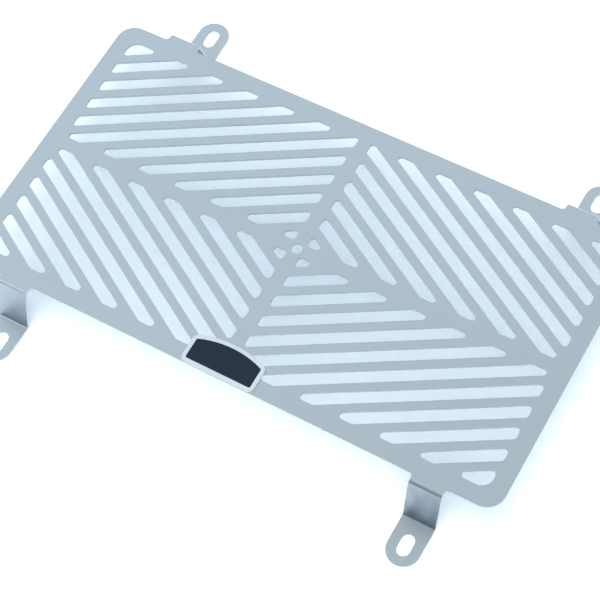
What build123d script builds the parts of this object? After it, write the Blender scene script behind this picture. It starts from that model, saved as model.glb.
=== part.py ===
from build123d import *
import math
import os

# Motorcycle radiator guard, resting on its four mounting feet with the front face up.
# X runs along the long side, Y along the short side, Z out of the front face.

# Panel
panel_length = 340.0
panel_width = 180.0
sheet = 1.5
panel_corner = 11.0

# Slot pattern: rings of slanted slots around the middle, parted by a plain cross and a border
slot_angle = 30.0
slot_width = 7.0
web_width = 5.15
slot_round = 2.0
border = 10.0
spoke_width = 8.0
first_opening = 1.75
least_opening = 1.0
window_corner = 7.0
centre_hole = 6.5

# Mounting tabs
tab_width = 19.5
tab_inset = 38.8
tab_drop = 27.5
tab_lean = 16.5
bend_inside = 1.0
root_straight = 3.1
root_fillet = 2.3
foot_length = 27.65
bolt_to_tip = 12.2
bolt_slot_width = 7.5
bolt_slot_length = 13.0

# Badge plate and the dark inlay bonded into its shallow pocket
badge_length = 45.8
badge_side = 16.7
badge_rise = 4.6
badge_corner = 3.4
badge_thick = 0.9
badge_edge = 0.3
badge_setback = 0.2
badge_rim = 2.4
pocket_depth = 0.4
inlay_thick = 0.3
inlay_clearance = 0.1

# Heights, with the undersides of the feet at zero
panel_top = tab_drop + sheet
panel_bottom = panel_top - sheet
badge_top = panel_top + badge_thick
pocket_floor = badge_top - pocket_depth

# Slot pattern in the first quarter, as the path that the middle of the corner rounds may take
window_near = spoke_width / 2 + slot_round
window_far_x = panel_length / 2 - border - slot_round
window_far_y = panel_width / 2 - border - slot_round
window_fillet = window_corner - slot_round
across_x = math.sin(math.radians(slot_angle))
across_y = math.cos(math.radians(slot_angle))
near_reach = window_near * (across_x + across_y)
corner_x = window_far_x - window_fillet
corner_y = window_far_y - window_fillet
far_reach = corner_x * across_x + corner_y * across_y + window_fillet
core_width = slot_width - 2 * slot_round
ring_pitch = slot_width + web_width
ring_start = near_reach + first_opening - core_width
ring_count = math.ceil((far_reach - least_opening - ring_start) / ring_pitch)

# Places along one tab, with the bends measured on the middle of the sheet
bend_turn = 90.0 - tab_lean
half_turn = math.tan(math.radians(bend_turn / 2))
bend_middle = bend_inside + sheet / 2
root_y = panel_width / 2 + root_straight
upper_bend_y = root_y + bend_middle * half_turn
lower_bend_y = upper_bend_y + tab_drop * math.tan(math.radians(tab_lean))
tip_y = lower_bend_y + foot_length
tip_centre_y = tip_y - tab_width / 2
bolt_y = tip_y - bolt_to_tip
tab_x = panel_length / 2 - tab_inset

# Places on the badge
badge_low = badge_setback - panel_width / 2
badge_shoulder = badge_low + badge_side
badge_high = badge_shoulder + badge_rise


def four_ways(shape):
    """The shape and its mirror copies in the other three quarters of the panel."""
    pair = [shape, mirror(shape, about=Plane.YZ)]
    return pair + [mirror(one, about=Plane.XZ) for one in pair]


def ring_slot(ring):
    """The slot that one ring leaves in the first quarter; the last ring opens the whole corner."""
    window = Rectangle(window_far_x - window_near, window_far_y - window_near, align=Align.MIN)
    window = Pos(window_near, window_near) * window
    outer_corner = window.vertices().sort_by(lambda corner: corner.X + corner.Y)[-1]
    window = fillet(outer_corner, window_fillet)
    inner = ring_start + ring * ring_pitch
    depth = core_width if ring < ring_count - 1 else panel_length
    band = Rectangle(2 * panel_length, depth, align=(Align.CENTER, Align.MIN))
    core = window & Rot(0, 0, -slot_angle) * Pos(0, inner) * band
    return offset(core, slot_round)


# Flat part of the sheet: panel and tab roots, with the root corners blended
outline = RectangleRounded(panel_length, panel_width, panel_corner)
for side in (-1, 1):
    outline += Pos(side * tab_x, 0) * Rectangle(tab_width, 2 * root_y)
touch = sheet / 100
root_corners = [
    corner
    for corner in outline.vertices()
    if abs(abs(corner.Y) - panel_width / 2) < touch
    and abs(abs(abs(corner.X) - tab_x) - tab_width / 2) < touch
]
outline = fillet(root_corners, root_fillet)

# Openings: the rings of slots and the round hole in the middle
openings = [Circle(centre_hole / 2)]
for ring in range(ring_count):
    openings += four_ways(ring_slot(ring))
panel = extrude(Pos(0, 0, panel_bottom) * (outline - openings), sheet)

# One tab: strip bent down from the root and out again into a foot, then trimmed to its rounded tip
path = Plane.YZ * FilletPolyline(
    (panel_width / 2, panel_top - sheet / 2),
    (upper_bend_y, panel_top - sheet / 2),
    (lower_bend_y, sheet / 2),
    (tip_y, sheet / 2),
    radius=bend_middle,
)
section = Plane(path @ 0, x_dir=(1, 0, 0), z_dir=path % 0) * Rectangle(tab_width, sheet)
strip = sweep(section, path)
plan = Pos(0, tip_centre_y / 2) * Rectangle(tab_width, tip_centre_y)
plan += Pos(0, tip_centre_y) * Circle(tab_width / 2)
plan -= Pos(0, bolt_y) * SlotOverall(bolt_slot_length, bolt_slot_width, rotation=90)
tab = Pos(tab_x, 0) * (strip & extrude(plan, panel_top))

# The whole guard is one folded sheet
guard = panel.fuse(*[one.solid() for one in four_ways(tab)]).clean()

# Badge plate: straight foot and sides, arched top, on the front face at the lower edge
badge_outline = make_face(
    Polyline(
        (-badge_length / 2, badge_shoulder),
        (-badge_length / 2, badge_low),
        (badge_length / 2, badge_low),
        (badge_length / 2, badge_shoulder),
    ).edges()
    + ThreePointArc(
        (badge_length / 2, badge_shoulder),
        (0, badge_high),
        (-badge_length / 2, badge_shoulder),
    ).edges()
)
badge_outline = fillet(badge_outline.vertices(), badge_corner)
plate = extrude(Pos(0, 0, panel_top) * badge_outline, badge_thick)
plate = fillet(plate.faces().sort_by(Axis.Z)[-1].edges(), badge_edge)
pocket = offset(badge_outline, -badge_rim)
plate -= extrude(Pos(0, 0, pocket_floor) * pocket, pocket_depth)
inlay = extrude(Pos(0, 0, pocket_floor) * offset(pocket, -inlay_clearance), inlay_thick)

os.makedirs("parts", exist_ok=True)
export_step(guard, "parts/guard_sheet.step")
export_step(plate, "parts/badge_plate.step")
export_step(inlay, "parts/badge_inlay.step")
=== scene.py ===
# %% [markdown]
# # A slotted radiator guard in satin stainless steel
# This lesson dresses a folded sheet-metal guard for a motorcycle's radiator. Its form is already
# made and packed as the frame, so the work here is finish, floor, light and camera. We load the
# frame first.

import bpy
from mathutils import Matrix, Vector

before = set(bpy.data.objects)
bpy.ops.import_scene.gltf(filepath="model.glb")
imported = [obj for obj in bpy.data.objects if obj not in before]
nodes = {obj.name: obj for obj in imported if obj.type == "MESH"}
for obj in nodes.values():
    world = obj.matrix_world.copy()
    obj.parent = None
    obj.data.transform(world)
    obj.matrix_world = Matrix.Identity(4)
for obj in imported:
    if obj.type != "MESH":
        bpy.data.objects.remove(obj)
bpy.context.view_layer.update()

scene = bpy.context.scene

# %% [markdown]
# A shader is a graph, and writing one socket at a time hides its shape. A few small helpers keep
# the steps short. The first makes a node with its settings and links in one call. The next three
# open a new group with named inputs and outputs, place a group, and start an empty material.

# %% Graph helpers
FLOAT = "NodeSocketFloat"


def add(tree, kind, inputs=None, **settings):
    node = tree.nodes.new(kind)
    for name, value in settings.items():
        setattr(node, name, value)
    for name, value in (inputs or {}).items():
        if isinstance(value, bpy.types.NodeSocket):
            tree.links.new(value, node.inputs[name])
        else:
            node.inputs[name].default_value = value
    return node


def new_group(name, inputs, outputs):
    tree = bpy.data.node_groups.new(name, "ShaderNodeTree")
    for label, value in inputs:
        socket = tree.interface.new_socket(label, in_out="INPUT", socket_type=FLOAT)
        socket.default_value = value
    for label in outputs:
        tree.interface.new_socket(label, in_out="OUTPUT", socket_type=FLOAT)
    return tree, tree.nodes.new("NodeGroupInput"), tree.nodes.new("NodeGroupOutput")


def use(tree, group, inputs=None):
    return add(tree, "ShaderNodeGroup", inputs, node_tree=group)


def new_material(name):
    material = bpy.data.materials.new(name)
    material.use_nodes = True
    material.node_tree.nodes.clear()
    return material, material.node_tree


print("graph helpers ready")

# %% [markdown]
# The sums that every finish needs get a helper each: a colour between two colours, a mask
# stretched to a range, and the product of two masks. The last helper puts a finished material on
# a piece.

# %% Mixing helpers
def blend(tree, factor, first, second):
    """Colour between two colours, each given as a socket or as three numbers."""
    node = add(tree, "ShaderNodeMix", data_type="RGBA")
    for slot, value in ((0, factor), (6, first), (7, second)):
        if isinstance(value, bpy.types.NodeSocket):
            tree.links.new(value, node.inputs[slot])
        else:
            node.inputs[slot].default_value = value if slot == 0 else (*value, 1.0)
    return node.outputs[2]


def spread(tree, value, low, high):
    """A mask from 0 to 1 turned into a value from low to high."""
    node = add(tree, "ShaderNodeMapRange", {"Value": value, "To Min": low, "To Max": high})
    return node.outputs["Result"]


def times(tree, first, second):
    node = add(tree, "ShaderNodeMath", {0: first, 1: second}, operation="MULTIPLY")
    return node.outputs["Value"]


def dress(node_name, material):
    mesh = nodes[node_name].data
    mesh.materials.clear()
    mesh.materials.append(material)
    print(node_name, "wears", material.name)


print("mixing helpers ready")

# %% [markdown]
# Satin stainless is rolled, then scuffed with a fine belt or blasted with beads. Close up it is a
# felt of tiny short scratches that all run the same way, over faint clouds left by the rolling
# mill. The group stretches one noise along the rolling direction for the scratches and leaves
# others round for clouds, specks and blotches. It gives values only, so any surface can decide
# what to do with them.

# %% Satin grain group
BLOTCH_FROM, BLOTCH_TO = 0.35, 0.75
grain, grain_in, grain_out = new_group(
    "Satin Grain",
    [("Scratch Scale", 900.0), ("Stretch", 0.04), ("Cloud Scale", 14.0), ("Blotch Scale", 110.0)],
    ["Scratch", "Cloud", "Speck", "Blotch"],
)
place = add(grain, "ShaderNodeTexCoord").outputs["Object"]
stretch = add(
    grain, "ShaderNodeCombineXYZ", {"X": grain_in.outputs["Stretch"], "Y": 1.0, "Z": 1.0},
)
along = add(
    grain, "ShaderNodeVectorMath", {0: place, 1: stretch.outputs["Vector"]}, operation="MULTIPLY",
)
for label, where, scale, detail in (
    ("Scratch", along.outputs["Vector"], "Scratch Scale", 3.0),
    ("Cloud", place, "Cloud Scale", 2.0),
    ("Speck", place, "Scratch Scale", 2.0),
    ("Blotch", place, "Blotch Scale", 2.0),
):
    noise = add(
        grain, "ShaderNodeTexNoise",
        {"Vector": where, "Scale": grain_in.outputs[scale], "Detail": detail},
    ).outputs["Fac"]
    if label == "Blotch":
        noise = add(
            grain, "ShaderNodeMapRange",
            {"Value": noise, "From Min": BLOTCH_FROM, "From Max": BLOTCH_TO},
        ).outputs["Result"]
    grain.links.new(noise, grain_out.inputs[label])
print("group", grain.name, [socket.name for socket in grain.interface.items_tree])

# %% [markdown]
# A laser leaves a cut wall that differs from the rolled face: matt, a little paler, and ribbed
# from top to bottom where the beam pulsed. The cut walls of a flat sheet are the only faces whose
# normal lies level, so the normal itself can tell them apart. The leaning legs are rolled face,
# and their normals tip upward enough to stay outside the mask.

# %% Cut wall group
DOWN_THE_WALL = (1.0, 1.0, 0.05)
cut, cut_in, cut_out = new_group(
    "Cut Wall", [("Level Limit", 0.12), ("Rib Scale", 1400.0)], ["Mask", "Rib"],
)
facing = add(cut, "ShaderNodeNewGeometry")
up = add(cut, "ShaderNodeSeparateXYZ", {"Vector": facing.outputs["True Normal"]})
tilt = add(cut, "ShaderNodeMath", {0: up.outputs["Z"]}, operation="ABSOLUTE")
level = add(
    cut, "ShaderNodeMath", {0: tilt.outputs["Value"], 1: cut_in.outputs["Level Limit"]},
    operation="LESS_THAN",
)
place = add(cut, "ShaderNodeTexCoord").outputs["Object"]
upright = add(cut, "ShaderNodeVectorMath", {0: place, 1: DOWN_THE_WALL}, operation="MULTIPLY")
rib = add(
    cut, "ShaderNodeTexNoise",
    {"Vector": upright.outputs["Vector"], "Scale": cut_in.outputs["Rib Scale"], "Detail": 1.0},
)
cut.links.new(level.outputs["Value"], cut_out.inputs["Mask"])
cut.links.new(rib.outputs["Fac"], cut_out.inputs["Rib"])
print("group", cut.name, [socket.name for socket in cut.interface.items_tree])

# %% [markdown]
# The bends and legs carry painted shade. A narrow darker line across each bend is painted shade in
# the crease, and the legs are painted darker than the face, bluish in blotches. On a bend the
# normal is part way between flat and leg, so one mask is highest round the turn and fades out at
# each end, and another grows toward the leg. A third mask rises toward one corner, where the sheet
# is painted duller and its folds darker, as painted shade on that side.

# %% Bend line group
bend, bend_in, bend_out = new_group(
    "Bend Line",
    [("Flat Normal", 0.985), ("Leg Normal", 0.32), ("Corner Shade From", 0.05), ("Corner Shade To", 0.20)],
    ["Mask", "Leg", "Corner Shade"],
)
TO_CORNER = (1.0, -1.0, 0.0)
FULL_MASK = 9.0
turning = add(bend, "ShaderNodeNewGeometry")
lift = add(bend, "ShaderNodeSeparateXYZ", {"Vector": turning.outputs["Normal"]})
steep = add(bend, "ShaderNodeMath", {0: lift.outputs["Z"]}, operation="ABSOLUTE")
from_leg = add(
    bend, "ShaderNodeMapRange",
    {
        "Value": steep.outputs["Value"],
        "From Min": bend_in.outputs["Leg Normal"],
        "From Max": bend_in.outputs["Flat Normal"],
    },
).outputs["Result"]
leg = add(bend, "ShaderNodeMath", {0: 1.0, 1: from_leg}, operation="SUBTRACT").outputs["Value"]
peak = add(
    bend, "ShaderNodeMath", {0: times(bend, from_leg, leg), 1: FULL_MASK},
    operation="MULTIPLY", use_clamp=True,
)
# painted shade: this mask rises toward one corner, where the sheet and its folds are painted
# darker
place = add(bend, "ShaderNodeTexCoord").outputs["Object"]
slant = add(bend, "ShaderNodeVectorMath", {0: place, 1: TO_CORNER}, operation="DOT_PRODUCT")
corner_shade = add(
    bend, "ShaderNodeMapRange",
    {
        "Value": slant.outputs["Value"],
        "From Min": bend_in.outputs["Corner Shade From"],
        "From Max": bend_in.outputs["Corner Shade To"],
    },
)
bend.links.new(peak.outputs["Value"], bend_out.inputs["Mask"])
bend.links.new(leg, bend_out.inputs["Leg"])
bend.links.new(corner_shade.outputs["Result"], bend_out.inputs["Corner Shade"])
print("group", bend.name, [socket.name for socket in bend.interface.items_tree])

# %% [markdown]
# Now the colour of the steel: a cool grey, pushed a little by the clouds, painted duller toward
# that corner as shade and lifted by the scratches. The legs are painted darker as shade, bluish in
# blotches, and darker still toward the corner. The bends get their painted crease shade, and the
# cut walls come last, because a cut goes through every other finish.

# %% Steel colour
GREY_LOW, GREY_HIGH = (0.602, 0.675, 0.715), (0.654, 0.726, 0.767)
# painted shade colours: the dull corner grey here, and the leg and crease colours below
CORNER_SHADE, SCRATCHED = (0.46, 0.46, 0.45), (0.80, 0.83, 0.85)
LEG_SHADE_PALE, LEG_SHADE_BLUE, LEG_SHADE_DARK = (0.33, 0.38, 0.44), (0.29, 0.35, 0.42), (0.18, 0.20, 0.24)
CREASE_SHADE = (0.26, 0.29, 0.33)
CORNER_SHADE_SHARE, SCRATCH_SHARE, CREASE_SHADE_SHARE = 0.12, 0.12, 0.72
LEG_SHADE_LEAST, LEG_SHADE_MOST = 0.18, 0.46
WALL_LOW, WALL_HIGH = (0.68, 0.74, 0.78), (0.78, 0.82, 0.84)

steel, tree = new_material("satin_stainless")
texture = use(tree, grain).outputs
wall = use(tree, cut).outputs
fold = use(tree, bend).outputs
face = blend(tree, texture["Cloud"], GREY_LOW, GREY_HIGH)
# painted shade: the face turns a duller grey toward that corner
corner_shaded = blend(tree, spread(tree, fold["Corner Shade"], 0.0, CORNER_SHADE_SHARE), face, CORNER_SHADE)
rubbed = blend(tree, spread(tree, texture["Scratch"], 0.0, SCRATCH_SHARE), corner_shaded, SCRATCHED)
# painted shade: the legs are painted darker than the face, bluish in blotches, darker toward the
# corner
leg_shade_mottle = blend(tree, texture["Blotch"], LEG_SHADE_PALE, LEG_SHADE_BLUE)
leg_corner_shade = times(tree, fold["Corner Shade"], spread(tree, texture["Blotch"], LEG_SHADE_LEAST, LEG_SHADE_MOST))
leg_tone = blend(tree, leg_corner_shade, leg_shade_mottle, LEG_SHADE_DARK)
legs_shaded = blend(tree, fold["Leg"], rubbed, leg_tone)
# painted shade: a darker line in each bend's crease, stronger toward the corner
line = times(tree, fold["Mask"], spread(tree, fold["Corner Shade"], 0.0, CREASE_SHADE_SHARE))
creases_shaded = blend(tree, line, legs_shaded, CREASE_SHADE)
ribbed = blend(tree, wall["Rib"], WALL_LOW, WALL_HIGH)
steel_colour = blend(tree, wall["Mask"], creases_shaded, ribbed)
print("colour of", steel.name)

# %% [markdown]
# Gloss comes next. The satin face is half rough, a little more where a scratch runs, and the cut
# walls are nearly matt. The height of the scratches goes to one bump, far finer than a pixel of a
# whole view, so it reads as satin and not as pattern. A bevel node rounds the normal over a
# quarter of a millimetre, as deburring does.

# %% Steel surface
DEBURR = 0.00025
SATIN_SMOOTH, SATIN_ROUGH, CUT_ROUGH = 0.36, 0.50, 0.85
SCRATCH_STRENGTH, SCRATCH_DEPTH = 0.10, 0.0002
satin = spread(tree, texture["Scratch"], SATIN_SMOOTH, SATIN_ROUGH)
soft_edge = add(tree, "ShaderNodeBevel", {"Radius": DEBURR}, samples=4)
relief = add(
    tree, "ShaderNodeBump",
    {
        "Strength": SCRATCH_STRENGTH, "Distance": SCRATCH_DEPTH,
        "Height": texture["Scratch"], "Normal": soft_edge.outputs["Normal"],
    },
)
shader = add(
    tree, "ShaderNodeBsdfPrincipled",
    {
        "Metallic": 1.0, "Base Color": steel_colour, "Normal": relief.outputs["Normal"],
        "Roughness": spread(tree, wall["Mask"], satin, CUT_ROUGH),
    },
)
add(tree, "ShaderNodeOutputMaterial", {"Surface": shader.outputs["BSDF"]})
dress("guard_sheet", steel)

# %% [markdown]
# The badge is a small plate stuck to the front face. Its rim is pale and satin, a lacquer rather
# than bare metal, so it is only slightly metallic. Round specks take the place of the rolled
# scratches.

# %% Badge rim
RIM_LOW, RIM_HIGH = (0.68, 0.75, 0.79), (0.73, 0.80, 0.83)
RIM_SMOOTH, RIM_ROUGH, RIM_METAL = 0.28, 0.42, 0.1
SPECK_STRENGTH, SPECK_DEPTH = 0.08, 0.0001
rim, tree = new_material("badge_rim")
texture = use(tree, grain, {"Scratch Scale": 1500.0, "Stretch": 1.0, "Cloud Scale": 60.0}).outputs
relief = add(
    tree, "ShaderNodeBump",
    {"Strength": SPECK_STRENGTH, "Distance": SPECK_DEPTH, "Height": texture["Speck"]},
)
shader = add(
    tree, "ShaderNodeBsdfPrincipled",
    {
        "Base Color": blend(tree, texture["Cloud"], RIM_LOW, RIM_HIGH),
        "Metallic": RIM_METAL,
        "Roughness": spread(tree, texture["Speck"], RIM_SMOOTH, RIM_ROUGH),
        "Normal": relief.outputs["Normal"],
    },
)
add(tree, "ShaderNodeOutputMaterial", {"Surface": shader.outputs["BSDF"]})
dress("badge_plate", rim)

# %% [markdown]
# The field is a dark gloss sheet bonded into a shallow pocket. Bare gloss plastic is never one
# flat colour: its skin has a faint ripple, and fine pigment shows as flakes close up.

# %% Badge field
INK_LOW, INK_HIGH = (0.009, 0.021, 0.038), (0.018, 0.033, 0.055)
FLAKE_SHARE = 0.35
GLOSS_SMOOTH, GLOSS_ROUGH, GLOSS_IOR = 0.16, 0.26, 1.33
RIPPLE_STRENGTH, RIPPLE_DEPTH = 0.12, 0.0002
field, tree = new_material("badge_field")
texture = use(tree, grain, {"Scratch Scale": 2600.0, "Stretch": 1.0, "Cloud Scale": 220.0}).outputs
flake = spread(tree, texture["Speck"], 0.0, FLAKE_SHARE)
relief = add(
    tree, "ShaderNodeBump",
    {"Strength": RIPPLE_STRENGTH, "Distance": RIPPLE_DEPTH, "Height": texture["Cloud"]},
)
shader = add(
    tree, "ShaderNodeBsdfPrincipled",
    {
        "Base Color": blend(tree, flake, INK_LOW, INK_HIGH),
        "IOR": GLOSS_IOR,
        "Roughness": spread(tree, texture["Cloud"], GLOSS_SMOOTH, GLOSS_ROUGH),
        "Normal": relief.outputs["Normal"],
    },
)
add(tree, "ShaderNodeOutputMaterial", {"Surface": shader.outputs["BSDF"]})
dress("badge_inlay", field)

# %% [markdown]
# A catalogue picture stands the part on a white sweep that is exposed until it burns out, while
# the floor under the part keeps a pale shadow. Here part of that shadow is painted, so the floor
# has
# to know how far it is from the part. Seen from above, the panel is a rectangle about the origin:
# fold the floor into one quarter, take away half the panel and keep the larger rest. The group
# turns that distance into a mask that is 0 under the panel, where the shadow is painted, and rises
# softly to 1 on open floor.

# %% Open floor group
open_floor, open_in, open_out = new_group(
    "Open Floor",
    [("Half Length", 0.170), ("Half Width", 0.090), ("Fade From", -0.010), ("Fade To", 0.030)],
    ["Mask"],
)
place = add(open_floor, "ShaderNodeTexCoord").outputs["Object"]
quarter = add(open_floor, "ShaderNodeVectorMath", {0: place}, operation="ABSOLUTE")
half = add(
    open_floor, "ShaderNodeCombineXYZ",
    {"X": open_in.outputs["Half Length"], "Y": open_in.outputs["Half Width"]},
)
beyond = add(
    open_floor, "ShaderNodeVectorMath",
    {0: quarter.outputs["Vector"], 1: half.outputs["Vector"]}, operation="SUBTRACT",
)
sides = add(open_floor, "ShaderNodeSeparateXYZ", {"Vector": beyond.outputs["Vector"]})
gap = add(
    open_floor, "ShaderNodeMath", {0: sides.outputs["X"], 1: sides.outputs["Y"]},
    operation="MAXIMUM",
)
mask = add(
    open_floor, "ShaderNodeMapRange",
    {
        "Value": gap.outputs["Value"],
        "From Min": open_in.outputs["Fade From"], "From Max": open_in.outputs["Fade To"],
    },
    interpolation_type="SMOOTHSTEP",
)
open_floor.links.new(mask.outputs["Result"], open_out.inputs["Mask"])
print("group", open_floor.name, [socket.name for socket in open_floor.interface.items_tree])

# %% [markdown]
# The floor itself is near white and scatters light as paper does. Looked at, by the camera or in
# the metal's reflections, it scatters more: up to a third more under the part and about twice as
# much on open floor, which lifts that to white. The smaller lift under the part is a painted
# shadow, pale and cool in the slots, on top of the shadow the lamps cast. Every other ray meets
# plain paper, so the paper throws no extra light on the matt surfaces.

# %% Floor
FLOOR_SIZE = 8.0
FLOOR_DROP = 0.0003
PAPER_LOW, PAPER_HIGH = (0.86, 0.87, 0.88), (0.88, 0.89, 0.90)
# the smaller lift under the part paints a shadow there
LIFT_IN_PAINTED_SHADOW, LIFT_OPEN = (0.21, 0.27, 0.31), (1.00, 0.98, 0.96)
bpy.ops.mesh.primitive_plane_add(size=FLOOR_SIZE, location=(0.0, 0.0, -FLOOR_DROP))
floor = bpy.context.object
floor.name = "floor"
paper, tree = new_material("floor_paper")
fibre = use(tree, grain, {"Scratch Scale": 300.0, "Stretch": 1.0, "Cloud Scale": 3.0}).outputs
white = blend(tree, fibre["Cloud"], PAPER_LOW, PAPER_HIGH)
scatter = add(tree, "ShaderNodeBsdfDiffuse", {"Color": white})
# painted shadow: under the panel the floor gets the smaller lift
lift_with_painted_shadow = blend(tree, use(tree, open_floor).outputs["Mask"], LIFT_IN_PAINTED_SHADOW, LIFT_OPEN)
bright = add(tree, "ShaderNodeBsdfDiffuse", {"Color": lift_with_painted_shadow})
seen = add(tree, "ShaderNodeAddShader", {0: scatter.outputs["BSDF"], 1: bright.outputs["BSDF"]})
ray = add(tree, "ShaderNodeLightPath").outputs
direct = add(
    tree, "ShaderNodeMath", {0: ray["Is Camera Ray"], 1: ray["Is Glossy Ray"]},
    operation="MAXIMUM",
)
looked_at = add(
    tree, "ShaderNodeMath", {0: direct.outputs["Value"], 1: ray["Is Transmission Ray"]},
    operation="MAXIMUM",
)
surface = add(
    tree, "ShaderNodeMixShader",
    {0: looked_at.outputs["Value"], 1: scatter.outputs["BSDF"], 2: seen.outputs["Shader"]},
)
add(tree, "ShaderNodeOutputMaterial", {"Surface": surface.outputs["Shader"]})
floor.data.materials.append(paper)
print("floor", floor.name, FLOOR_SIZE, "m")

# %% [markdown]
# Satin metal shows its surroundings as broad tones, so the surroundings are the light. The world
# is a soft grey room, brighter and bluer overhead on the far left, where the face mirrors it, and
# darker near the horizon, which shades the bends. Below the horizon it turns white, as if the
# sweep ran on beyond the floor. Every ray meets the same room, so the metal shows what the camera
# would see.

# %% Room
COOL_OVERHEAD, WARM_OVERHEAD = (0.785, 0.885, 0.985), (0.60, 0.645, 0.67)
PALE_HORIZON, DARK_HORIZON = (0.46, 0.51, 0.56), (0.26, 0.29, 0.32)
WHITE = (1.0, 1.0, 1.0)
WALL_FOOT, WALL_HEAD = 0.15, 0.65
COOL_SIDE, WARM_SIDE = -0.90, -0.35
HORIZON_SOFT = 0.02
world = bpy.data.worlds.new("studio")
scene.world = world
world.use_nodes = True
tree = world.node_tree
tree.nodes.clear()
sight = add(tree, "ShaderNodeTexCoord").outputs["Generated"]
height = add(tree, "ShaderNodeSeparateXYZ", {"Vector": sight})
lift = add(
    tree, "ShaderNodeMapRange",
    {"Value": height.outputs["Z"], "From Min": WALL_FOOT, "From Max": WALL_HEAD},
    interpolation_type="SMOOTHSTEP",
)
slant = add(tree, "ShaderNodeVectorMath", {0: sight, 1: TO_CORNER}, operation="DOT_PRODUCT")
across = add(
    tree, "ShaderNodeMapRange",
    {"Value": slant.outputs["Value"], "From Min": COOL_SIDE, "From Max": WARM_SIDE},
)
overhead = blend(tree, across.outputs["Result"], COOL_OVERHEAD, WARM_OVERHEAD)
horizon = blend(tree, across.outputs["Result"], PALE_HORIZON, DARK_HORIZON)
room_tone = blend(tree, lift.outputs["Result"], horizon, overhead)
above = add(
    tree, "ShaderNodeMapRange",
    {"Value": height.outputs["Z"], "From Min": -HORIZON_SOFT, "From Max": HORIZON_SOFT},
)
tone = blend(tree, above.outputs["Result"], WHITE, room_tone)
room = add(tree, "ShaderNodeBackground", {"Color": tone, "Strength": 1.0})
add(tree, "ShaderNodeOutputWorld", {"Surface": room.outputs["Background"]})
print("room", world.name)

# %% [markdown]
# Two softboxes finish the light. The wide one hangs near the camera, so it reaches the floor
# under the near edges and the shadow hides behind the part. Satin metal would mirror it as a
# white patch, so it is hidden from glossy rays, as a photographer turns a lamp until the metal
# loses it. That leaves the folds of the near tab dark. The smaller one, low on the left, is
# mirrored and draws the pale lines along the left bends.

# %% Softboxes
def softbox(name, place, size, watts, mirrored):
    light = bpy.data.lights.new(name, "AREA")
    light.size = size
    light.energy = watts
    lamp = bpy.data.objects.new(name, light)
    scene.collection.objects.link(lamp)
    lamp.location = place
    lamp.visible_glossy = mirrored
    lamp.rotation_euler = (-Vector(place)).to_track_quat("-Z", "Y").to_euler()
    print("light", name, watts, "W")


KEY_PLACE, KEY_SIZE, KEY_WATTS = (0.35, -1.15, 1.40), 2.0, 17.0
LEFT_PLACE, LEFT_SIZE, LEFT_WATTS = (-1.30, -0.80, 1.30), 0.9, 4.0
softbox("key_softbox", KEY_PLACE, KEY_SIZE, KEY_WATTS, mirrored=False)
softbox("left_softbox", LEFT_PLACE, LEFT_SIZE, LEFT_WATTS, mirrored=True)

# %% [markdown]
# The camera stands where the photographer stood: above the near long edge, to the right, with a
# long lens, and turned on its axis so that the guard lies across the picture on the slant. The
# three directions are the camera's right, down and forward in the frame of the part.

# %% Camera
CAMERA_PLACE = (0.3214, -0.4146, 0.9299)
LENS_MM = 111.63
SENSOR_MM = 36.0
right = Vector((0.86589, 0.49383, -0.07971))
down = Vector((0.40339, -0.78358, -0.47251))
ahead = Vector((-0.29580, 0.37699, -0.87771))
lens = bpy.data.cameras.new("camera")
lens.sensor_width = SENSOR_MM
lens.lens = LENS_MM
camera = bpy.data.objects.new("camera", lens)
scene.collection.objects.link(camera)
turn = Matrix((right, -down, -ahead)).transposed()
camera.matrix_world = Matrix.Translation(CAMERA_PLACE) @ turn.to_4x4()
scene.camera = camera
scene.view_settings.view_transform = "Standard"
print("camera at", CAMERA_PLACE)
